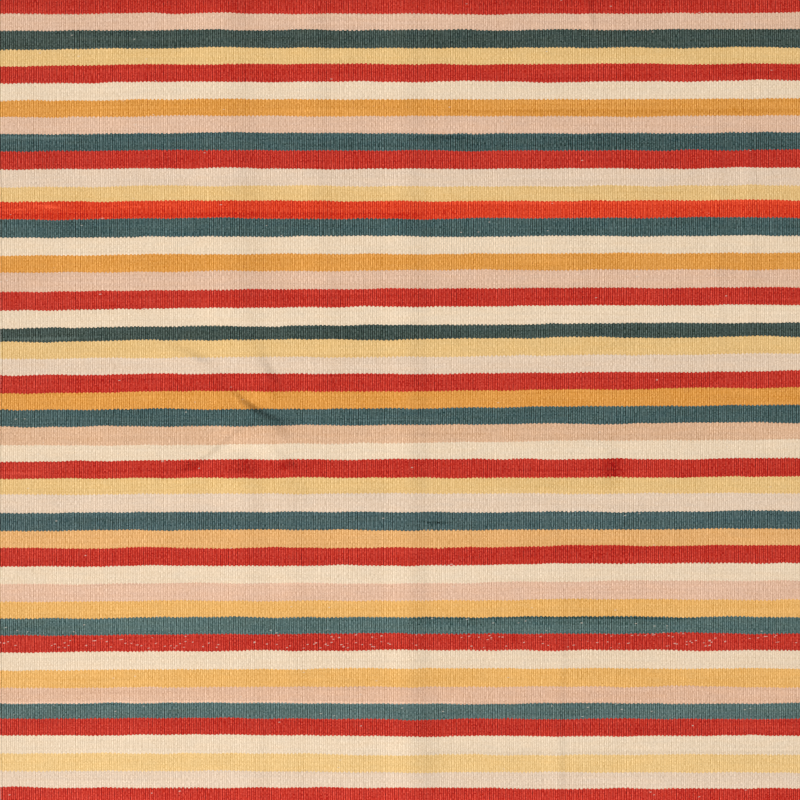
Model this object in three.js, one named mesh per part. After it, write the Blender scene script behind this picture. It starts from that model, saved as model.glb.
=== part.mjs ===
// A square flat-woven rug, one heavy weft-faced cloth with woven-in side edges and clean cut ends.
// It lies flat, but for a soft fold down the middle, low ripples beside it and a small pucker left of it.
// Millimetres, +Z up. The stripes run along X and the warps, which show as fine ribs, along Y.
// The origin is under the rug's middle, on the surface that it lies on.
import * as THREE from 'three';

// Driving dimensions of the cloth
const WIDTH = 1000;
const LENGTH = 1000;
const THICKNESS = 3;

// The rim is rounded: these are the distances from the edge at which its section bends,
// and the share of the thickness that is left at the edge itself.
const RIM_STEPS = [0, 0.45, THICKNESS / 2];
const RIM_EDGE_SHARE = 0.35;

// How far each edge strays from a straight line, as two waves along the edge
const EDGE_SWAY = [
  { edge: 'left', size: 1.2, waves: 1.7, phase: 1.45 },
  { edge: 'left', size: 0.4, waves: 5.3, phase: 2.1 },
  { edge: 'right', size: 1.1, waves: 1.4, phase: 1.7 },
  { edge: 'right', size: 0.4, waves: 4.6, phase: 0.2 },
  { edge: 'near', size: 0.9, waves: 1.8, phase: 2.6 },
  { edge: 'near', size: 0.3, waves: 6.2, phase: 1.1 },
  { edge: 'far', size: 0.8, waves: 2.2, phase: 0.9 },
  { edge: 'far', size: 0.3, waves: 5.7, phase: 3.0 },
];

// Soft folds, each a low ridge along a route of [x, y, height above the flat cloth].
// leftReach and rightReach are how far its two flanks run out, seen along the route.
const FOLDS = [
  {
    name: 'middle fold',
    route: [
      [5, 510, 1.4], [4, 400, 1.1], [2, 310, 1.9], [6, 220, 1.8], [6, 100, 2.0], [8, -60, 2.2],
      [8, -200, 2.3], [8, -330, 2.2], [8, -420, 1.6], [8, -510, 1.4],
    ],
    leftReach: 28,
    rightReach: 34,
  },
  {
    name: 'swell at the near end',
    route: [
      [14, -300, 0.1], [18, -350, 0.8], [20, -410, 2.2], [20, -510, 2.7],
    ],
    leftReach: 32,
    rightReach: 62,
  },
  {
    name: 'long ripple',
    route: [
      [-220, 510, 3.6], [-219, 450, 3.0], [-217, 410, 1.0], [-215, 350, 1.4], [-213, 310, 3.0],
      [-210, 200, 2.6], [-208, 125, 3.1], [-205, 85, 2.7], [-200, 55, 1.3], [-194, 22, 0.1],
    ],
    leftReach: 42,
    rightReach: 62,
  },
  {
    name: 'second ripple',
    route: [
      [-112, 510, 1.9], [-110, 440, 1.6], [-110, 400, 1.1], [-110, 300, 1.4], [-108, 190, 1.3],
      [-100, 140, 1.3], [-86, 100, 1.7], [-84, 66, 0.2],
    ],
    leftReach: 26,
    rightReach: 34,
  },
  {
    name: 'upper pucker',
    route: [
      [-184, 66, 0.4], [-178, 44, 1.5], [-170, 30, 2.0], [-162, 19, 2.2], [-166, 8, 2.6],
      [-169, -6, 0.6],
    ],
    leftReach: 15,
    rightReach: 44,
  },
  {
    name: 'main pucker',
    route: [
      [-216, 10, 0.3], [-200, -4, 2.6], [-184, -16, 4.8], [-168, -24, 3.4], [-148, -30, 1.1],
      [-134, -32, 0.2],
    ],
    leftReach: 8,
    rightReach: 62,
  },
  {
    name: 'pucker tail',
    route: [
      [-193, -34, 2.0], [-206, -45, 3.0], [-221, -58, 2.9], [-241, -74, 3.1], [-253, -82, 2.8],
      [-266, -89, 1.6], [-296, -104, 0.1],
    ],
    leftReach: 14,
    rightReach: 9,
  },
  {
    name: 'pucker spur',
    route: [
      [-168, -33, 0.4], [-160, -38, 1.8], [-152, -48, 1.5], [-147, -56, 0.2],
    ],
    leftReach: 17,
    rightReach: 72,
  },
  {
    name: 'small dimple',
    route: [
      [-170, -57, 0.1], [-158, -66, 0.6], [-148, -76, 0.7], [-140, -83, 1.7], [-134, -90, 0.2],
    ],
    leftReach: 10,
    rightReach: 52,
  },
  {
    name: 'upper ripple',
    route: [
      [-312, 72, 0.3], [-284, 62, 0.8], [-270, 55, 0.9], [-254, 47, 1.8], [-238, 41, 0.9],
      [-226, 40, 0.1],
    ],
    leftReach: 12,
    rightReach: 34,
  },
  {
    name: 'far crease',
    route: [
      [226, 510, 1.0], [231, 478, 1.5], [243, 438, 0.2],
    ],
    leftReach: 6,
    rightReach: 16,
  },
  {
    name: 'right ripple',
    route: [
      [214, 210, 0.1], [217, 160, 1.0], [220, 110, 0.1],
    ],
    leftReach: 14,
    rightReach: 30,
  },
  {
    name: 'near ripple',
    route: [
      [194, -240, 0.1], [197, -290, 0.8], [194, -370, 0.8], [192, -440, 1.3], [194, -510, 0.9],
    ],
    leftReach: 10,
    rightReach: 22,
  },
  {
    name: 'low ripple',
    route: [
      [186, -110, 0.1], [188, -160, 0.9], [188, -190, 0.1],
    ],
    leftReach: 10,
    rightReach: 24,
  },
  {
    name: 'far right ripple',
    route: [
      [428, 350, 0.1], [429, 290, 0.9], [429, 120, 0.8], [430, 60, 0.1],
    ],
    leftReach: 14,
    rightReach: 16,
  },
  {
    name: 'outer right ripple',
    route: [
      [389, 350, 0.1], [389, 300, 0.6], [389, 110, 0.6], [389, 50, 0.1],
    ],
    leftReach: 14,
    rightReach: 16,
  },
  {
    name: 'ripple below the pucker',
    route: [
      [-198, -62, 0.3], [-199, -90, 2.2], [-197, -140, 1.6], [-196, -220, 1.0], [-196, -280, 0.1],
    ],
    leftReach: 28,
    rightReach: 44,
  },
  {
    name: 'second ripple below the pucker',
    route: [
      [-146, -92, 0.1], [-142, -120, 1.0], [-136, -170, 1.0], [-138, -280, 0.8], [-138, -420, 0.7],
      [-138, -510, 0.6],
    ],
    leftReach: 24,
    rightReach: 30,
  },
  {
    name: 'ripple at the near end',
    route: [
      [-186, -360, 0.1], [-186, -400, 0.9], [-186, -510, 1.0],
    ],
    leftReach: 22,
    rightReach: 28,
  },
  {
    name: 'swell left of the pucker',
    route: [
      [-246, 4, 0.4], [-228, 12, 0.9], [-215, 16, 0.4],
    ],
    leftReach: 34,
    rightReach: 44,
  },
  {
    name: 'swell right of the pucker',
    route: [
      [-106, 26, 0.5], [-100, 14, 1.1], [-96, 2, 0.5],
    ],
    leftReach: 48,
    rightReach: 24,
  },
];

// The solid's grid lines, closer together where the folds are
const COLUMN_ZONES = [
  { from: -WIDTH / 2, to: -310, step: 48 },
  { from: -310, to: -260, step: 17 },
  { from: -260, to: -120, step: 6.5 },
  { from: -120, to: -40, step: 20 },
  { from: -40, to: 40, step: 11.5 },
  { from: 40, to: 170, step: 65 },
  { from: 170, to: 240, step: 14 },
  { from: 240, to: 370, step: 65 },
  { from: 370, to: 450, step: 13.5 },
  { from: 450, to: WIDTH / 2, step: 50 },
];
const ROW_ZONES = [
  { from: -LENGTH / 2, to: -100, step: 57 },
  { from: -100, to: -50, step: 9 },
  { from: -50, to: 60, step: 7 },
  { from: 60, to: 90, step: 15 },
  { from: 90, to: LENGTH / 2, step: 59 },
];

// Grid lines across one side of the cloth: its rim's steps, then each zone's even steps.
function gridLines(zones) {
  const first = zones[0].from;
  const last = zones.at(-1).to;
  const rimDepth = RIM_STEPS.at(-1);
  const lines = RIM_STEPS.map((step) => first + step);
  for (const zone of zones) {
    const start = Math.max(zone.from, first + rimDepth);
    const end = Math.min(zone.to, last - rimDepth);
    const count = Math.ceil((end - start) / zone.step);
    for (let i = 1; i <= count; i += 1) lines.push(start + ((end - start) * i) / count);
  }
  lines.push(...RIM_STEPS.slice(0, -1).reverse().map((step) => last - step));
  return lines;
}

// The point of a fold's route that lies nearest: its distance, its side and the height there.
function nearestOnRoute(route, x, y) {
  let best = { distance: Infinity, side: 1, height: 0 };
  for (let i = 0; i + 1 < route.length; i += 1) {
    const [x0, y0, height0] = route[i];
    const [x1, y1, height1] = route[i + 1];
    const runX = x1 - x0;
    const runY = y1 - y0;
    const along = ((x - x0) * runX + (y - y0) * runY) / (runX * runX + runY * runY);
    const t = THREE.MathUtils.clamp(along, 0, 1);
    const distance = Math.hypot(x - x0 - t * runX, y - y0 - t * runY);
    if (distance < best.distance) {
      const side = Math.sign(runX * (y - y0) - runY * (x - x0)) || 1;
      best = { distance, side, height: THREE.MathUtils.lerp(height0, height1, t) };
    }
  }
  return best;
}

// How far the folds raise the cloth off the surface at a point
function lift(x, y) {
  let total = 0;
  for (const fold of FOLDS) {
    const { distance, side, height } = nearestOnRoute(fold.route, x, y);
    const reach = side > 0 ? fold.leftReach : fold.rightReach;
    if (distance < reach) total += height * 0.5 * (1 + Math.cos((Math.PI * distance) / reach));
  }
  return total;
}

// Half the cloth's thickness at a distance in from its rim, which is a half round
function halfThickness(inFromEdge) {
  const radius = THICKNESS / 2;
  const depth = Math.min(inFromEdge, radius);
  const round = Math.sqrt(radius ** 2 - (radius - depth) ** 2);
  return Math.max(round, radius * RIM_EDGE_SHARE);
}

// Sideways stray of one edge, at a place given as a share of that edge's length
function sway(edge, share) {
  return EDGE_SWAY.filter((wave) => wave.edge === edge).reduce(
    (sum, wave) => sum + wave.size * Math.sin(2 * Math.PI * wave.waves * share + wave.phase),
    0,
  );
}

function rugGeometry() {
  const columns = gridLines(COLUMN_ZONES);
  const rows = gridLines(ROW_ZONES);
  const lastColumn = columns.length - 1;
  const lastRow = rows.length - 1;
  // A box with one cell for each cell of the grid, whose corners are then moved to the cloth's own places
  const geometry = new THREE.BoxGeometry(lastColumn, lastRow, 2, lastColumn, lastRow, 1);
  const position = geometry.attributes.position;
  for (let i = 0; i < position.count; i += 1) {
    const x = columns[Math.round(position.getX(i) + lastColumn / 2)];
    const y = rows[Math.round(position.getY(i) + lastRow / 2)];
    const inFromEdge = Math.min(WIDTH / 2 - Math.abs(x), LENGTH / 2 - Math.abs(y));
    const side = Math.sign(position.getZ(i));
    const z = lift(x, y) + THICKNESS / 2 + side * halfThickness(inFromEdge);
    const acrossShare = x / WIDTH + 0.5;
    const alongShare = y / LENGTH + 0.5;
    const shiftX = THREE.MathUtils.lerp(sway('left', alongShare), sway('right', alongShare), acrossShare);
    const shiftY = THREE.MathUtils.lerp(sway('near', acrossShare), sway('far', acrossShare), alongShare);
    position.setXYZ(i, x + shiftX, y + shiftY, z);
  }
  geometry.computeBoundingBox();
  const middle = geometry.boundingBox.getCenter(new THREE.Vector3());
  geometry.translate(-middle.x, -middle.y, 0);
  geometry.computeVertexNormals();
  return geometry;
}

const wool = new THREE.MeshStandardMaterial({ color: '#cc9f7f', roughness: 0.95, metalness: 0 });
const rug = new THREE.Mesh(rugGeometry(), wool);
rug.name = 'rug';

const part = new THREE.Group();
part.add(rug);

export default part;
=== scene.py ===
# A square flat-woven rug in narrow cross stripes, seen from straight above.
# Metres, +Z up. The wefts and the stripes run along X, and the warps along Y.
import math
import random

import bmesh
import bpy
import numpy as np
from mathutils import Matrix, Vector


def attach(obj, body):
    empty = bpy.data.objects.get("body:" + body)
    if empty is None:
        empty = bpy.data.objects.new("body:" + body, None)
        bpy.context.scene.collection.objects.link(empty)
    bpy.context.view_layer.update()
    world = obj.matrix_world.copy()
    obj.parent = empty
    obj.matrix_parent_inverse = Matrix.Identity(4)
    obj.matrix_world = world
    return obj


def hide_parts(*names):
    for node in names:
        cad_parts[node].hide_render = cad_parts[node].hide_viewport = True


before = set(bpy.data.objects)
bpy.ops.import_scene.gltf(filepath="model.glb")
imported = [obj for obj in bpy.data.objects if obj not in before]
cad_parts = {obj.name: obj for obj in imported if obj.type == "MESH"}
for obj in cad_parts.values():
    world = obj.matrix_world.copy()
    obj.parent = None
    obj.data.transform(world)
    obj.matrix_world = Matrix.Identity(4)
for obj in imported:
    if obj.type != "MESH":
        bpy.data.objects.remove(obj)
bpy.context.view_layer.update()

# The cloth, as in the construction
WIDTH = 1.0
LENGTH = 1.0
THICKNESS = 0.003
RIM_STEPS = (0.0, 0.00045, 0.0015)
RIM_EDGE_SHARE = 0.35

# How far each edge strays from a straight line, as waves along the edge: size in metres, waves, phase
EDGE_SWAY = {
    "left": ((0.0012, 1.7, 1.45), (0.0004, 5.3, 2.1)),
    "right": ((0.0011, 1.4, 1.7), (0.0004, 4.6, 0.2)),
    "near": ((0.0009, 1.8, 2.6), (0.0003, 6.2, 1.1)),
    "far": ((0.0008, 2.2, 0.9), (0.0003, 5.7, 3.0)),
}

# Soft folds, each a low ridge along a route of x, y and height above the flat cloth, all in millimetres.
# The two reaches are how far its flanks run out, left and right as seen along the route.
FOLDS = (
    {
        "name": "middle fold",
        "route": (
            (5, 510, 1.4), (4, 400, 1.1), (2, 310, 1.9), (6, 220, 1.8), (6, 100, 2.0),
            (8, -60, 2.2), (8, -200, 2.3), (8, -330, 2.2), (8, -420, 1.6), (8, -510, 1.4),
        ),
        "left_reach": 28,
        "right_reach": 34,
    },
    {
        "name": "swell at the near end",
        "route": (
            (14, -300, 0.1), (18, -350, 0.8), (20, -410, 2.2), (20, -510, 2.7),
        ),
        "left_reach": 32,
        "right_reach": 62,
    },
    {
        "name": "long ripple",
        "route": (
            (-220, 510, 3.6), (-219, 450, 3.0), (-217, 410, 1.0), (-215, 350, 1.4),
            (-213, 310, 3.0), (-210, 200, 2.6), (-208, 125, 3.1), (-205, 85, 2.7), (-200, 55, 1.3),
            (-194, 22, 0.1),
        ),
        "left_reach": 42,
        "right_reach": 62,
    },
    {
        "name": "second ripple",
        "route": (
            (-112, 510, 1.9), (-110, 440, 1.6), (-110, 400, 1.1), (-110, 300, 1.4),
            (-108, 190, 1.3), (-100, 140, 1.3), (-86, 100, 1.7), (-84, 66, 0.2),
        ),
        "left_reach": 26,
        "right_reach": 34,
    },
    {
        "name": "upper pucker",
        "route": (
            (-184, 66, 0.4), (-178, 44, 1.5), (-170, 30, 2.0), (-162, 19, 2.2), (-166, 8, 2.6),
            (-169, -6, 0.6),
        ),
        "left_reach": 15,
        "right_reach": 44,
    },
    {
        "name": "main pucker",
        "route": (
            (-216, 10, 0.3), (-200, -4, 2.6), (-184, -16, 4.8), (-168, -24, 3.4), (-148, -30, 1.1),
            (-134, -32, 0.2),
        ),
        "left_reach": 8,
        "right_reach": 62,
    },
    {
        "name": "pucker tail",
        "route": (
            (-193, -34, 2.0), (-206, -45, 3.0), (-221, -58, 2.9), (-241, -74, 3.1),
            (-253, -82, 2.8), (-266, -89, 1.6), (-296, -104, 0.1),
        ),
        "left_reach": 14,
        "right_reach": 9,
    },
    {
        "name": "pucker spur",
        "route": (
            (-168, -33, 0.4), (-160, -38, 1.8), (-152, -48, 1.5), (-147, -56, 0.2),
        ),
        "left_reach": 17,
        "right_reach": 72,
    },
    {
        "name": "small dimple",
        "route": (
            (-170, -57, 0.1), (-158, -66, 0.6), (-148, -76, 0.7), (-140, -83, 1.7),
            (-134, -90, 0.2),
        ),
        "left_reach": 10,
        "right_reach": 52,
    },
    {
        "name": "upper ripple",
        "route": (
            (-312, 72, 0.3), (-284, 62, 0.8), (-270, 55, 0.9), (-254, 47, 1.8), (-238, 41, 0.9),
            (-226, 40, 0.1),
        ),
        "left_reach": 12,
        "right_reach": 34,
    },
    {
        "name": "far crease",
        "route": (
            (226, 510, 1.0), (231, 478, 1.5), (243, 438, 0.2),
        ),
        "left_reach": 6,
        "right_reach": 16,
    },
    {
        "name": "right ripple",
        "route": (
            (214, 210, 0.1), (217, 160, 1.0), (220, 110, 0.1),
        ),
        "left_reach": 14,
        "right_reach": 30,
    },
    {
        "name": "near ripple",
        "route": (
            (194, -240, 0.1), (197, -290, 0.8), (194, -370, 0.8), (192, -440, 1.3),
            (194, -510, 0.9),
        ),
        "left_reach": 10,
        "right_reach": 22,
    },
    {
        "name": "low ripple",
        "route": (
            (186, -110, 0.1), (188, -160, 0.9), (188, -190, 0.1),
        ),
        "left_reach": 10,
        "right_reach": 24,
    },
    {
        "name": "far right ripple",
        "route": (
            (428, 350, 0.1), (429, 290, 0.9), (429, 120, 0.8), (430, 60, 0.1),
        ),
        "left_reach": 14,
        "right_reach": 16,
    },
    {
        "name": "outer right ripple",
        "route": (
            (389, 350, 0.1), (389, 300, 0.6), (389, 110, 0.6), (389, 50, 0.1),
        ),
        "left_reach": 14,
        "right_reach": 16,
    },
    {
        "name": "ripple below the pucker",
        "route": (
            (-198, -62, 0.3), (-199, -90, 2.2), (-197, -140, 1.6), (-196, -220, 1.0),
            (-196, -280, 0.1),
        ),
        "left_reach": 28,
        "right_reach": 44,
    },
    {
        "name": "second ripple below the pucker",
        "route": (
            (-146, -92, 0.1), (-142, -120, 1.0), (-136, -170, 1.0), (-138, -280, 0.8),
            (-138, -420, 0.7), (-138, -510, 0.6),
        ),
        "left_reach": 24,
        "right_reach": 30,
    },
    {
        "name": "ripple at the near end",
        "route": (
            (-186, -360, 0.1), (-186, -400, 0.9), (-186, -510, 1.0),
        ),
        "left_reach": 22,
        "right_reach": 28,
    },
    {
        "name": "swell left of the pucker",
        "route": (
            (-246, 4, 0.4), (-228, 12, 0.9), (-215, 16, 0.4),
        ),
        "left_reach": 34,
        "right_reach": 44,
    },
    {
        "name": "swell right of the pucker",
        "route": (
            (-106, 26, 0.5), (-100, 14, 1.1), (-96, 2, 0.5),
        ),
        "left_reach": 48,
        "right_reach": 24,
    },
)

# The weave: ribs over the warps, and picks of weft beaten down over them. Widths are in plain ribs, and
# the pick and the depths in metres.
WARPS = 390
PICK = 0.0008
WARP_SEED = 11
WARP_UNEVEN = 0.25
WARP_PAIRING = 0.05
SIDE_CORD_WIDTH = 1.3
SIDE_CORD_WARPS = 1.1
VALLEY_DEPTH = 0.0002
RIB_HEIGHT_UNEVEN = 0.00006
COLUMNS_IN_RIB = (0.0, 0.5)
UNDERSIDE_RIBS_IN_CELL = 4

# Rows of the mesh, from one place to another and their step: close together at the pucker, and less so
# at the far crease
ROW_ZONES = (
    (-0.500, -0.105, 0.040),
    (-0.105, 0.075, 0.0026),
    (0.075, 0.430, 0.045),
    (0.430, 0.500, 0.012),
)

# How the wefts lie off their straight line: height on the rug, and then the rise at the left
# edge, a quarter across, the middle, three quarters across and the right edge, all in millimetres
WEFT_DRIFT = (
    (480, (-1.0, 0.5, -0.9, -1.0, 0.9)),
    (458, (-1.4, -0.4, -0.6, 0.7, 1.7)),
    (436, (-1.8, 0.6, 0.4, 0.7, 0.9)),
    (415, (-2.5, 0.5, 0.2, 0.6, 2.3)),
    (330, (-1.2, 0.4, -0.2, -0.3, 0.6)),
    (240, (-1.4, 0.6, -0.7, 0.5, 1.5)),
    (180, (-2.2, -0.3, 0.2, 0.9, 1.2)),
    (110, (-5.0, -1.7, 0.6, 1.9, 2.3)),
    (60, (-3.1, -1.1, -0.4, 2.3, 3.8)),
    (33, (-2.3, 0.2, -0.4, 1.4, 3.6)),
    (12, (-3.4, -1.3, -0.6, 1.5, 3.5)),
    (-10, (-2.3, -1.9, -0.8, 2.0, 3.0)),
    (-31, (-2.1, -1.0, 0.8, 2.0, 3.5)),
    (-53, (-3.8, -2.7, -0.4, 3.6, 3.6)),
    (-74, (-2.9, -0.3, 0.6, 0.7, 1.5)),
    (-98, (-1.9, -0.2, 0.1, 0.3, 1.1)),
    (-140, (-1.0, 0.1, -0.1, -0.2, 1.8)),
    (-204, (-2.4, -1.3, -1.3, 2.2, 2.5)),
    (-285, (-1.4, 0.7, 0.2, 0.8, -0.4)),
    (-310, (-2.5, -0.9, 1.0, 1.0, 0.5)),
    (-415, (0.6, 1.2, -0.9, -0.5, -0.2)),
    (-460, (0.9, 1.0, -0.5, -0.7, -1.1)),
    (-480, (1.9, 0.7, -2.6, 0.5, -0.2)),
)
DRIFT_FADE = 0.03

# The stripes from the far end to the near one: the weft's dye and how many picks
STRIPES = (
    ("red", 27), ("blush", 25), ("dark green", 29), ("straw", 25), ("red", 27), ("cream", 27),
    ("ochre", 26), ("blush", 26), ("teal", 27), ("red", 28), ("shell", 27), ("straw", 23),
    ("vermilion", 27), ("teal", 28), ("cream", 27), ("ochre", 26), ("blush", 28), ("red", 28),
    ("cream", 28), ("dark green", 22), ("straw", 27), ("shell", 26), ("red", 26), ("ochre", 27),
    ("teal", 27), ("clay", 27), ("cream", 26), ("red", 28), ("straw", 25), ("shell", 28),
    ("pale teal", 28), ("apricot", 26), ("red", 28), ("cream", 27), ("rose", 28), ("marigold", 26),
    ("faded teal", 26), ("red", 26), ("cream", 28), ("marigold", 28), ("dusty blush", 25),
    ("worn teal", 24), ("red", 26), ("cream", 29), ("wheat", 27), ("shell", 25), ("red", 25),
)

# The dyes, as display colours from 0 to 255
DYES = {
    "red": (190, 50, 36),
    "vermilion": (217, 62, 32),
    "blush": (224, 185, 157),
    "rose": (228, 186, 158),
    "clay": (221, 178, 143),
    "dusty blush": (224, 181, 151),
    "shell": (228, 202, 176),
    "cream": (235, 211, 181),
    "straw": (230, 190, 127),
    "wheat": (236, 196, 132),
    "ochre": (222, 152, 72),
    "apricot": (229, 173, 111),
    "marigold": (233, 177, 102),
    "teal": (69, 91, 90),
    "pale teal": (74, 95, 95),
    "faded teal": (83, 105, 102),
    "worn teal": (87, 108, 105),
    "dark green": (64, 78, 72),
}

# The texture is a step in display colour, stronger on dark dyes, which show loose fibres and gaps more. It
# holds painted shade in the valleys between the ribs and painted highlight on their crests, besides the
# yarn's own uneven tone. Its regular valleys and its uneven parts have a strength on black and a change
# towards white.
TEXTURE_ON_BLACK = 0.178
TEXTURE_LESS_ON_WHITE = 0.146
REGULAR_ON_BLACK = 1.25
REGULAR_LESS_ON_WHITE = 0.3
UNEVEN_ON_BLACK = 0.6
UNEVEN_MORE_ON_WHITE = 0.5
DISPLAY_GAMMA = 2.2

# The painted valley shade begins at this share of the way from a crest's middle to its edge. The crests are
# painted lighter by the valleys' mean, so that the whole keeps the dye's colour, and every second valley
# gets darker painted shade.
VALLEY_START = 0.3
VALLEY_MEAN = (1 - VALLEY_START) / 2
SECOND_VALLEY_DARKER = 1.1
SIDE_CORD_TONE = -0.4

# How much one bead differs from those beside it, in its valley's painted shade and its crest's painted
# highlight: seed and strength
BEAD_CONTRAST = {"valley shade": (2.9, 2.2), "crest tone": (1.3, 1.05)}

# A marked pick fades over this many warps at its ends, and the ends are ragged by as many
MARK_FADE = 5.0

# Soft noise: how far its values are spread about their middle, and how much of it lies in finer lumps
NOISE_SPREAD = 2.6
NOISE_ROUGHNESS = 0.6

# Unevenness as soft noise: its scale along the first and the second coordinate, detail, seed and strength
UNEVENNESS = {
    "waver": (0.032, 0.05, 3.0, 0.0, 3.0),
    # The valley and crest rows vary the painted shade and highlight of the ribs
    "long valley": (1.37, 0.05, 0.0, 5.27, 0.9),
    "valley spots": (1.73, 0.40, 1.0, 2.41, 2.6),
    "long crest": (1.37, 0.04, 0.0, 7.73, 0.3),
    "crest spots": (1.73, 0.55, 1.0, 9.19, 0.35),
    "streaks along a pick": (0.009, 0.8, 0.0, 3.17, 0.5),
    "cloudy dye": (0.045, 0.03, 1.0, 4.43, 0.25),
    "warm and cool": (0.11, 0.14, 1.0, 6.61, 0.024),
    "ragged mark": (1.7, 0.1, 0.0, 8.35, MARK_FADE),
    "gathered lint": (0.04, 0.12, 0.0, 1.71, 1.0),
}

# How dull the wool is, and how far its beads stand up
SURFACE = {"Roughness": 0.9, "Specular IOR Level": 0.2, "Sheen Weight": 0.05, "Sheen Roughness": 0.5}
BEAD_RELIEF = {"Strength": 0.5, "Distance": 0.0004}

# Picks of a lighter or darker yarn, and in three rows painted shade in the folds below the pucker: the
# first and last pick, the first and last warp, and the tone
MARKED_PICKS_AND_FOLD_SHADE = (
    (176, 181, 220, 390, -0.35),
    (216, 219, 0, 34, 0.5),
    (215, 221, 200, 228, -0.35),
    (214, 238, 205, 390, -0.15),
    (229, 232, 147, 196, -0.4),
    (318, 322, 214, 390, 0.35),
    (322, 324, 16, 28, 1.0),
    (325, 326, 22, 28, 1.6),
    (327, 328, 4, 11, 1.0),
    (323, 324, 78, 86, 0.7),
    (325, 326, 58, 70, 0.6),
    (335, 341, 0, 205, -0.42),
    (524, 527, 0, 38, 0.6),
    (655, 657, 174, 212, 0.4),
    (677, 679, 202, 236, -0.5),
    # Painted shade in the dark flanks of the folds below the pucker
    (720, 732, 92, 98, -0.9),
    (716, 738, 116, 124, -0.4),
    (721, 733, 138, 143, -0.7),
    (733, 736, 0, 20, 0.6),
    (812, 816, 210, 217, -0.8),
    (961, 964, 204, 335, -0.35),
    (961, 973, 200, 335, -0.3),
    (1091, 1094, 0, 221, 0.9),
    (1168, 1171, 206, 390, -0.4),
)

# A soft dark patch: its middle and half size in warps and picks, its tone, and where that starts to fade
# and is gone, as shares of its half size
DARK_PATCH = {"warp": 297, "pick": 732, "half_warps": 5.2, "half_picks": 45, "tone": -0.62, "fade": (0.2, 1.3)}

# Pale lint caught in the weave: the share of specks that show, everywhere and in the stripes given by their
# first and last pick. It gathers here and there, and its specks lie aslant, so many to a warp and a weft.
LINT_EVERYWHERE = 0.0005
LINT_STRIPES = ((962, 987, 0.0015), (988, 1008, 0.019), (1095, 1118, 0.002))
LINT_GATHERING = {"low": -0.4, "high": 0.8, "to_low": 0.0, "to_high": 2.2}
LINT_SPECK = {"to_warp": 1.1, "to_weft": 0.9, "slant": 0.3, "seed": 11.9}
LINT_COVER = 0.6
LINT_COLOUR = (0.72, 0.62, 0.52, 1)

# Darker along the left side, full up to one warp and gone at the next, and more on the side cords
SIDE_DARK_COLOUR = (0.1, 0.08, 0.06, 1)
SIDE_DARK_COVER = 0.04
SIDE_DARK_WARPS = (8, 58)
SIDE_DARK_ON_CORDS = 0.13

# The layout for baking: the upper face takes this share of the square and the underside the rest
UPPER_SHARE = 0.72
LAYOUT_MARGIN = 0.004

# The picture: 0.99 m of cloth across, with the left side edge just at its rim
VIEW_SIDE = 0.99
VIEW_LEFT = -0.4985
LENS = 100
SENSOR = 36
NEAREST_SEEN = 0.1
FARTHEST_SEEN = 20

# The floor, and the light: an even room, a low sun and a window, both aimed at the middle of the rug
FLOOR_HALF = 6
FLOOR_DROP = 0.0003
FLOOR_COLOUR = (0.78, 0.77, 0.75, 1)
ROOM_COLOUR = (1, 1, 1, 1)
ROOM_STRENGTH = 0.45
SUN_PLACE = (-3.2, -5.5, 3.6)
SUN = {"energy": 2.25, "angle": math.radians(16)}
WINDOW_PLACE = (-2.95, -1.4, 2.7)
WINDOW = {"energy": 57, "shape": "DISK", "size": 1.0}


def add_camera():
    """A long lens straight above the rug, with the far end at the top of the picture."""
    data = bpy.data.cameras.new("camera")
    data.type = "PERSP"
    data.lens = LENS
    data.sensor_width = SENSOR
    data.clip_start = NEAREST_SEEN
    data.clip_end = FARTHEST_SEEN
    camera = bpy.data.objects.new("camera", data)
    distance = VIEW_SIDE * LENS / SENSOR
    camera.location = (VIEW_LEFT + VIEW_SIDE / 2, 0, THICKNESS + distance)
    bpy.context.scene.collection.objects.link(camera)
    bpy.context.scene.camera = camera


def waves(terms, share):
    """The sum of an edge's waves at places given as shares of its length."""
    total = np.zeros_like(share)
    for size, count, phase in terms:
        total += size * np.sin(2 * math.pi * count * share + phase)
    return total


def smoothstep(low, high, value):
    """A smooth step from 0 to 1 as a value goes from low to high."""
    t = np.clip((value - low) / (high - low), 0, 1)
    return t * t * (3 - 2 * t)


def fold_height(fold, x, y):
    """How far one fold raises the cloth, at places in millimetres."""
    nearest = np.full(x.shape, np.inf)
    height = np.zeros(x.shape)
    reach = np.ones(x.shape)
    route = fold["route"]
    for (x0, y0, height0), (x1, y1, height1) in zip(route, route[1:]):
        run_x = x1 - x0
        run_y = y1 - y0
        along = ((x - x0) * run_x + (y - y0) * run_y) / (run_x**2 + run_y**2)
        t = np.clip(along, 0, 1)
        distance = np.hypot(x - x0 - t * run_x, y - y0 - t * run_y)
        on_left = run_x * (y - y0) - run_y * (x - x0) >= 0
        closer = distance < nearest
        nearest = np.where(closer, distance, nearest)
        height = np.where(closer, height0 + (height1 - height0) * t, height)
        reach = np.where(closer, np.where(on_left, fold["left_reach"], fold["right_reach"]), reach)
    return height * 0.5 * (1 + np.cos(math.pi * np.clip(nearest / reach, 0, 1)))


def lift(x, y):
    """How far the folds raise the cloth off the floor, in metres."""
    return sum(fold_height(fold, x * 1000, y * 1000) for fold in FOLDS) / 1000


def half_thickness(in_from_edge):
    """Half the cloth's thickness at a distance in from its rim, which is a half round."""
    radius = THICKNESS / 2
    depth = np.minimum(in_from_edge, radius)
    rounded = np.sqrt(radius**2 - (radius - depth) ** 2)
    return np.maximum(rounded, radius * RIM_EDGE_SHARE)


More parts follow.
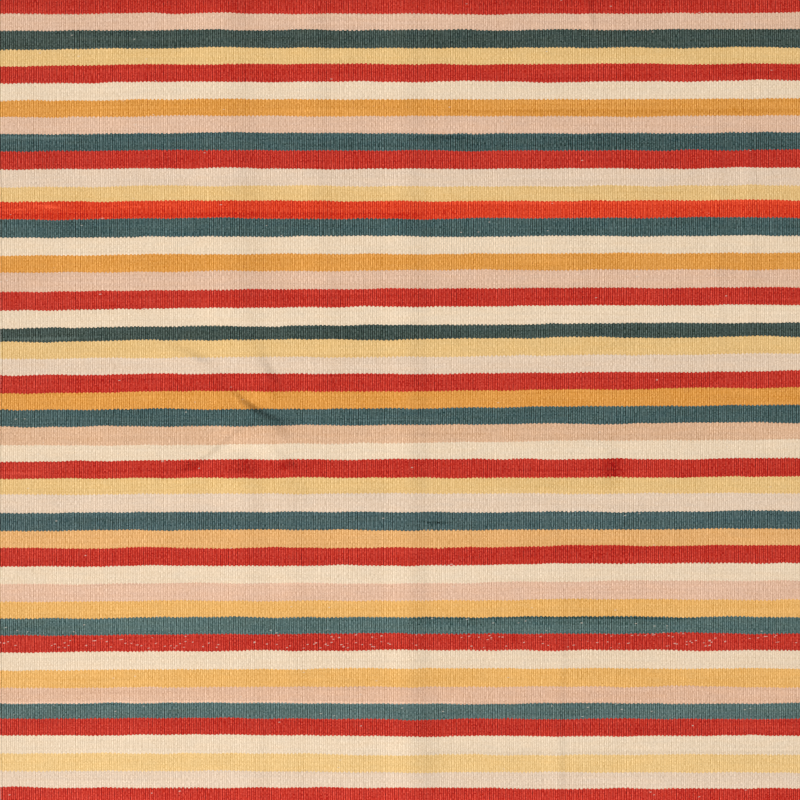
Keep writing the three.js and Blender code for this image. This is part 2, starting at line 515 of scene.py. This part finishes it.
def drift(x, y):
    """How far the wefts lie off their straight line, smoothly between the places of the table."""
    heights = np.array([row[0] for row in WEFT_DRIFT][::-1]) / 1000
    rises = np.array([row[1] for row in WEFT_DRIFT][::-1]) / 1000
    across = np.clip(x / WIDTH + 0.5, 0, 1) * (rises.shape[1] - 1)
    column = np.minimum(across.astype(int), rises.shape[1] - 2)
    blend_x = smoothstep(0, 1, across - column)
    row = np.clip(np.searchsorted(heights, y) - 1, 0, len(heights) - 2)
    blend_y = smoothstep(0, 1, (y - heights[row]) / (heights[row + 1] - heights[row]))
    low = rises[row, column] * (1 - blend_x) + rises[row, column + 1] * blend_x
    high = rises[row + 1, column] * (1 - blend_x) + rises[row + 1, column + 1] * blend_x
    return low * (1 - blend_y) + high * blend_y


def rug_columns():
    """The mesh's columns: their place across the rug, their warp number and their depth below the crest."""
    draw = random.Random(WARP_SEED)
    widths = []
    for warp in range(WARPS):
        pairing = WARP_PAIRING if warp % 2 else -WARP_PAIRING
        widths.append(1 + pairing + WARP_UNEVEN * draw.uniform(-1, 1))
    widths[0] = widths[-1] = SIDE_CORD_WIDTH
    scale = WIDTH / sum(widths)
    places = []
    numbers = []
    depths = []
    left = -WIDTH / 2
    for warp, width in enumerate(widths):
        crest = -RIB_HEIGHT_UNEVEN * draw.random()
        for share in COLUMNS_IN_RIB:
            places.append(left + share * width * scale)
            numbers.append(warp + share)
            depths.append(crest if share else -VALLEY_DEPTH)
        left += width * scale
    places.append(WIDTH / 2)
    numbers.append(float(WARPS))
    depths.append(0.0)
    depths[0] = 0.0
    return np.array(places), np.array(numbers), np.array(depths)


def rug_rows():
    """The mesh's rows from the near end to the far one, as places along the rug."""
    rim = RIM_STEPS[-1]
    rows = [-LENGTH / 2 + step for step in RIM_STEPS]
    for low, high, step in ROW_ZONES:
        start = max(low, -LENGTH / 2 + rim)
        end = min(high, LENGTH / 2 - rim)
        count = math.ceil((end - start) / step)
        rows.extend(np.linspace(start, end, count + 1)[1:])
    rows.extend(LENGTH / 2 - step for step in RIM_STEPS[-2::-1])
    return np.array(rows)


def woven_slab(column_count, row_count):
    """A closed slab whose corners stand at whole column and row numbers, with a plain underside."""
    bm = bmesh.new()
    bmesh.ops.create_grid(bm, x_segments=column_count - 1, y_segments=row_count - 1, size=0.5)
    bmesh.ops.translate(bm, verts=bm.verts[:], vec=(0.5, 0.5, 0))
    bmesh.ops.scale(bm, verts=bm.verts[:], vec=(column_count - 1, row_count - 1, 1))
    grown = bmesh.ops.extrude_face_region(bm, geom=bm.faces[:])
    upper = [part for part in grown["geom"] if isinstance(part, bmesh.types.BMVert)]
    bmesh.ops.translate(bm, verts=upper, vec=(0, 0, 1))
    cell = len(COLUMNS_IN_RIB) * UNDERSIDE_RIBS_IN_CELL
    spare = []
    for edge in bm.edges:
        a, b = (vert.co for vert in edge.verts)
        if a.z < 0.5 and b.z < 0.5 and round(a.x) == round(b.x):
            column = round(a.x)
            if column % cell and 0 < column < column_count - 1:
                spare.append(edge)
    bmesh.ops.dissolve_edges(bm, edges=spare, use_verts=True)
    bmesh.ops.recalc_face_normals(bm, faces=bm.faces[:])
    mesh = bpy.data.meshes.new("cloth")
    bm.to_mesh(mesh)
    bm.free()
    return mesh


def add_map(mesh, name, places):
    """A UV map from one pair of numbers for each corner of each face."""
    layer = mesh.uv_layers.new(name=name)
    layer.uv.foreach_set("vector", np.asarray(places, np.float32).ravel())


def make_cloth():
    """The cloth, moved to its edges and folds, with its two maps: one for the weave and one for baking."""
    places, numbers, depths = rug_columns()
    rows = rug_rows()
    mesh = woven_slab(len(places), len(rows))
    corners = np.zeros(len(mesh.vertices) * 3)
    mesh.vertices.foreach_get("co", corners)
    corners = corners.reshape(-1, 3)
    column = np.rint(corners[:, 0]).astype(int)
    row = np.rint(corners[:, 1]).astype(int)
    top = corners[:, 2] > 0.5
    x = places[column]
    y = rows[row]
    in_from_edge = np.minimum(WIDTH / 2 - np.abs(x), LENGTH / 2 - np.abs(y))
    half = half_thickness(in_from_edge)
    across = x / WIDTH + 0.5
    along = y / LENGTH + 0.5
    side_shift = waves(EDGE_SWAY["left"], along) * (1 - across) + waves(EDGE_SWAY["right"], along) * across
    end_shift = waves(EDGE_SWAY["near"], across) * (1 - along) + waves(EDGE_SWAY["far"], across) * along
    inside = smoothstep(0, DRIFT_FADE, LENGTH / 2 - np.abs(y))
    end_shift = end_shift * (1 - inside) + drift(x, y) * inside
    height = lift(x + side_shift, y + end_shift) + THICKNESS / 2 + np.where(top, half, -half)
    height += np.where(top, depths[column], 0) * smoothstep(0, RIM_STEPS[-1], in_from_edge)
    moved = np.stack([x + side_shift, y + end_shift, height], 1)
    mesh.vertices.foreach_set("co", moved.astype(np.float32).ravel())
    warp = numbers[column]
    pick = (LENGTH / 2 - y) / PICK

    loops = np.zeros(len(mesh.loops), np.int32)
    mesh.loops.foreach_get("vertex_index", loops)
    add_map(mesh, "weave", np.stack([warp, pick], 1)[loops])
    add_map(mesh, "OFBake", bake_places(mesh, across[loops], along[loops]))
    mesh.uv_layers["weave"].active_render = True
    mesh.polygons.foreach_set("use_smooth", np.ones(len(mesh.polygons), bool))
    mesh.update()
    cloth = bpy.data.objects.new("cloth", mesh)
    bpy.context.scene.collection.objects.link(cloth)
    return cloth


def bake_places(mesh, across, along):
    """The upper face over the square's whole width, with the underside in a strip above it."""
    normals = np.zeros(len(mesh.polygons) * 3)
    mesh.polygons.foreach_get("normal", normals)
    sizes = np.zeros(len(mesh.polygons), np.int32)
    mesh.polygons.foreach_get("loop_total", sizes)
    under = np.repeat(normals.reshape(-1, 3)[:, 2] < 0, sizes)
    inner = 1 - 2 * LAYOUT_MARGIN
    upper = LAYOUT_MARGIN + along * (UPPER_SHARE - 2 * LAYOUT_MARGIN)
    lower = UPPER_SHARE + LAYOUT_MARGIN + along * (1 - UPPER_SHARE - 2 * LAYOUT_MARGIN)
    return np.stack([LAYOUT_MARGIN + across * inner, np.where(under, lower, upper)], 1)


class Wire:
    """A number or colour inside a finish. Python's operators add Math nodes."""

    def __init__(self, finish, socket):
        self.finish = finish
        self.socket = socket

    def math(self, operation, *others):
        sockets = dict(enumerate((self, *others)))
        return self.finish.node("ShaderNodeMath", {"operation": operation}, sockets)

    def __add__(self, other):
        return self.math("ADD", other)

    def __radd__(self, other):
        return self.math("ADD", other)

    def __sub__(self, other):
        return self.math("SUBTRACT", other)

    def __rsub__(self, other):
        return (self * -1).math("ADD", other)

    def __mul__(self, other):
        return self.math("MULTIPLY", other)

    def __rmul__(self, other):
        return self.math("MULTIPLY", other)

    def __truediv__(self, other):
        return self.math("DIVIDE", other)

    def __pow__(self, other):
        return self.math("POWER", other)

    def __mod__(self, other):
        return self.math("FLOORED_MODULO", other)

    def __gt__(self, other):
        return self.math("GREATER_THAN", other)

    def __lt__(self, other):
        return self.math("LESS_THAN", other)

    def floor(self):
        return self.math("FLOOR")

    def size(self):
        return self.math("ABSOLUTE")

    def between(self, low, high, to_low=0.0, to_high=1.0):
        """A smooth step from one value to another as this number goes from low to high."""
        sockets = {"Value": self, "From Min": low, "From Max": high, "To Min": to_low, "To Max": to_high}
        return self.finish.node("ShaderNodeMapRange", {"interpolation_type": "SMOOTHSTEP"}, sockets)


class Finish:
    """A material being made: node() adds any node, and the rest are short ways to the common ones."""

    def __init__(self, name):
        self.material = bpy.data.materials.new(name)
        self.material.use_nodes = True
        self.tree = self.material.node_tree
        self.tree.nodes.clear()

    def node(self, kind, settings=None, sockets=None, output=0):
        made = self.tree.nodes.new(kind)
        for name, value in (settings or {}).items():
            setattr(made, name, value)
        for name, value in (sockets or {}).items():
            if isinstance(value, Wire):
                self.tree.links.new(value.socket, made.inputs[name])
            else:
                made.inputs[name].default_value = value
        return Wire(self, made.outputs[output]) if made.outputs else None

    def vector(self, x=0.0, y=0.0, z=0.0):
        return self.node("ShaderNodeCombineXYZ", None, {"X": x, "Y": y, "Z": z})

    def parts(self, vector):
        first = self.node("ShaderNodeSeparateXYZ", None, {0: vector})
        outputs = first.socket.node.outputs
        return first, Wire(self, outputs[1]), Wire(self, outputs[2])

    def noise(self, x, y, detail=0.0, seed=0.0):
        """Soft noise from about -1 to 1, one lump for each unit of x and y."""
        place = self.vector(x, y, seed)
        sockets = {"Vector": place, "Scale": 1.0, "Detail": detail, "Roughness": NOISE_ROUGHNESS}
        noise = self.node("ShaderNodeTexNoise", {"noise_dimensions": "3D"}, sockets)
        return (noise - 0.5) * NOISE_SPREAD

    def uneven(self, name, x, y):
        """One of the kinds of unevenness in the table, at its own scale and strength."""
        scale_x, scale_y, detail, seed, strength = UNEVENNESS[name]
        return self.noise(x * scale_x, y * scale_y, detail, seed) * strength

    def chance(self, x, y, seed=0.0):
        """A number from 0 to 1 for each pair of whole numbers."""
        place = self.vector(x, y, seed)
        return self.node("ShaderNodeTexWhiteNoise", {"noise_dimensions": "3D"}, {"Vector": place})

    def contrast(self, name, x, y):
        """A number for each pair of whole numbers, unlike those beside it, at the table's strength."""
        seed, strength = BEAD_CONTRAST[name]
        return (self.chance(x, y, seed) - self.chance(x + 1, y, seed)) * strength

    def mix(self, factor, first, second):
        """Between two colours. The sockets' numbers are those of a Mix node's colours."""
        sockets = {0: factor, 6: first, 7: second}
        return self.node("ShaderNodeMix", {"data_type": "RGBA"}, sockets, output=2)

    def surface(self, sockets):
        shader = self.node("ShaderNodeBsdfPrincipled", None, sockets)
        self.node("ShaderNodeOutputMaterial", None, {"Surface": shader})
        return self.material


def shares(display):
    """A display colour of 0 to 255 as shares of full light, with its alpha."""
    return (*(value / 255 for value in display), 1.0)


def dyed(finish, pick):
    """The weft's colour at a pick number, stripe after stripe."""
    colour = shares(DYES[STRIPES[0][0]])
    count = 0
    for (_, picks), (dye, _) in zip(STRIPES, STRIPES[1:]):
        count += picks
        colour = finish.mix(pick > count - 0.5, colour, shares(DYES[dye]))
    return colour


def marks_and_painted_shade(finish, warp, pick):
    """The tone that the marked picks, some of them painted fold shade, and the dark patch add."""
    ragged = warp + finish.uneven("ragged mark", pick, warp)
    tone = 0.0
    for first, last, left, right, amount in MARKED_PICKS_AND_FOLD_SHADE:
        along = (pick > first - 0.5) * (pick < last + 0.5)
        start = ragged.between(left - MARK_FADE, left + MARK_FADE)
        end = ragged.between(right - MARK_FADE, right + MARK_FADE, amount, 0.0)
        tone = along * start * end + tone
    # A soft dark oval patch
    off_across = (warp - DARK_PATCH["warp"]) / DARK_PATCH["half_warps"]
    off_along = (pick - DARK_PATCH["pick"]) / DARK_PATCH["half_picks"]
    off = (off_across * off_across + off_along * off_along) ** 0.5
    return tone + off.between(*DARK_PATCH["fade"], DARK_PATCH["tone"], 0.0)


def lint(finish, warp, weft, pick):
    """How much of the surface is pale lint: short specks, more of them in some stripes."""
    share = LINT_EVERYWHERE
    for first, last, amount in LINT_STRIPES:
        share = (pick > first - 0.5) * (pick < last + 0.5) * amount + share
    gathered = finish.uneven("gathered lint", warp, weft).between(**LINT_GATHERING)
    speck_across = (warp * LINT_SPECK["to_warp"]).floor()
    speck_along = (weft * LINT_SPECK["to_weft"] + warp * LINT_SPECK["slant"]).floor()
    chance = finish.chance(speck_across, speck_along, LINT_SPECK["seed"])
    return (chance < share * gathered) * LINT_COVER


def woven_wool():
    """Dyed wool in beads over ribs, with its unevenness, marks, painted shade in the rib valleys and folds,
    painted highlight on the crests, a darker left side and lint, on the weave's own map.
    """
    weave = Finish("woven_wool")
    place = weave.node("ShaderNodeUVMap", {"uv_map": "weave"})
    warp, weft, _ = weave.parts(place)

    # The wefts waver a little between the rows of the mesh
    weft = weft + weave.uneven("waver", warp, weft)

    # Where on its rib and on its bead a point lies: 0 at the middle and 1 at the edge
    rib = warp.floor()
    across = (warp - rib - 0.5).size() * 2
    odd = rib % 2
    place_in_beads = (weft + 0.5 - odd) / 2
    bead = place_in_beads.floor()
    along = (place_in_beads - bead - 0.5).size() * 2
    pick = bead * 2 + odd
    valley = across.between(VALLEY_START, 1.0)
    valley_number = (warp + 0.5).floor()

    colour = dyed(weave, pick)
    brightness = weave.node("ShaderNodeRGBToBW", None, {0: colour})
    uneven = brightness * UNEVEN_MORE_ON_WHITE + UNEVEN_ON_BLACK

    # Between two crests the valley is painted in shade, darker for a while here and there; depth is how
    # strong that painted shade is
    rib_shade = VALLEY_MEAN - valley
    valley_shade_length = weave.uneven("long valley", valley_number, weft)
    valley_shade_spots = weave.uneven("valley spots", valley_number, weft)
    valley_shade_bead = weave.contrast("valley shade", valley_number, bead)
    depth = (valley_number % 2) * SECOND_VALLEY_DARKER + REGULAR_ON_BLACK
    depth = depth - brightness * REGULAR_LESS_ON_WHITE
    depth = (valley_shade_length + valley_shade_spots + valley_shade_bead) * uneven + depth
    # Crests get uneven painted highlight and shade, bead by bead
    crest_length = weave.uneven("long crest", rib, weft)
    crest_spots = weave.uneven("crest spots", rib, weft)
    crest_bead = weave.contrast("crest tone", rib, bead)
    crest = (1 - valley) * (crest_length + crest_spots + crest_bead)
    # Yarn and dye vary slowly along each pick and over the cloth
    streak = weave.uneven("streaks along a pick", warp, pick)
    cloud = weave.uneven("cloudy dye", warp, weft)
    texture = rib_shade * depth + (crest + streak + cloud) * uneven
    # The marks add yarn tone, painted fold shade and the dark patch
    texture = texture + marks_and_painted_shade(weave, warp, pick)
    # The side cords are darker
    side_cord = (warp - WARPS / 2).size() > WARPS / 2 - SIDE_CORD_WARPS
    texture = texture + side_cord * SIDE_CORD_TONE

    change = texture * (TEXTURE_ON_BLACK - brightness * TEXTURE_LESS_ON_WHITE) * DISPLAY_GAMMA
    tint = weave.uneven("warm and cool", warp, weft)
    # The texture is the same step in each display channel, so in light it follows the display curve's slope
    light = weave.node("ShaderNodeGamma", None, {"Color": colour, "Gamma": DISPLAY_GAMMA})
    slope = weave.node("ShaderNodeGamma", None, {"Color": colour, "Gamma": DISPLAY_GAMMA - 1})
    colour = weave.node(
        "ShaderNodeVectorMath",
        {"operation": "MULTIPLY_ADD"},
        {0: slope, 1: weave.vector(change + tint, change, change - tint), 2: light},
    )

    # Darker along the left side and on the side cords
    side_dark = warp.between(*SIDE_DARK_WARPS, SIDE_DARK_COVER, 0.0) + side_cord * SIDE_DARK_ON_CORDS
    colour = weave.mix(side_dark, colour, SIDE_DARK_COLOUR)
    colour = weave.mix(lint(weave, warp, weft, pick), colour, LINT_COLOUR)

    roundness = (1 - across * across) * 0.5 + (1 - along * along) * 0.5
    normal = weave.node("ShaderNodeBump", None, {**BEAD_RELIEF, "Height": roundness})
    return weave.surface({"Base Color": colour, **SURFACE, "Normal": normal})


def add_floor():
    """A plain pale floor, a hair below the cloth."""
    bm = bmesh.new()
    bmesh.ops.create_grid(bm, x_segments=1, y_segments=1, size=FLOOR_HALF)
    bmesh.ops.translate(bm, verts=bm.verts[:], vec=(0, 0, -FLOOR_DROP))
    mesh = bpy.data.meshes.new("floor")
    bm.to_mesh(mesh)
    bm.free()
    floor = bpy.data.objects.new("floor", mesh)
    bpy.context.scene.collection.objects.link(floor)
    pale = Finish("pale_floor")
    mesh.materials.append(pale.surface({"Base Color": FLOOR_COLOUR, "Roughness": 0.8}))


def add_light(name, kind, place, settings):
    """A light at a place, aimed at the middle of the rug."""
    data = bpy.data.lights.new(name, kind)
    for key, value in settings.items():
        setattr(data, key, value)
    light = bpy.data.objects.new(name, data)
    light.location = place
    towards = -Vector(place)
    light.rotation_euler = towards.to_track_quat("-Z", "Y").to_euler()
    bpy.context.scene.collection.objects.link(light)


def add_lights():
    world = bpy.data.worlds.new("studio")
    world.use_nodes = True
    backdrop = world.node_tree.nodes["Background"]
    backdrop.inputs["Color"].default_value = ROOM_COLOUR
    backdrop.inputs["Strength"].default_value = ROOM_STRENGTH
    bpy.context.scene.world = world
    add_light("low sun", "SUN", SUN_PLACE, SUN)
    add_light("window", "AREA", WINDOW_PLACE, WINDOW)


bpy.context.scene.view_settings.view_transform = "Standard"
add_camera()
cloth = make_cloth()
cloth.data.materials.append(woven_wool())
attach(cloth, "root")
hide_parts("rug")
add_floor()
add_lights()
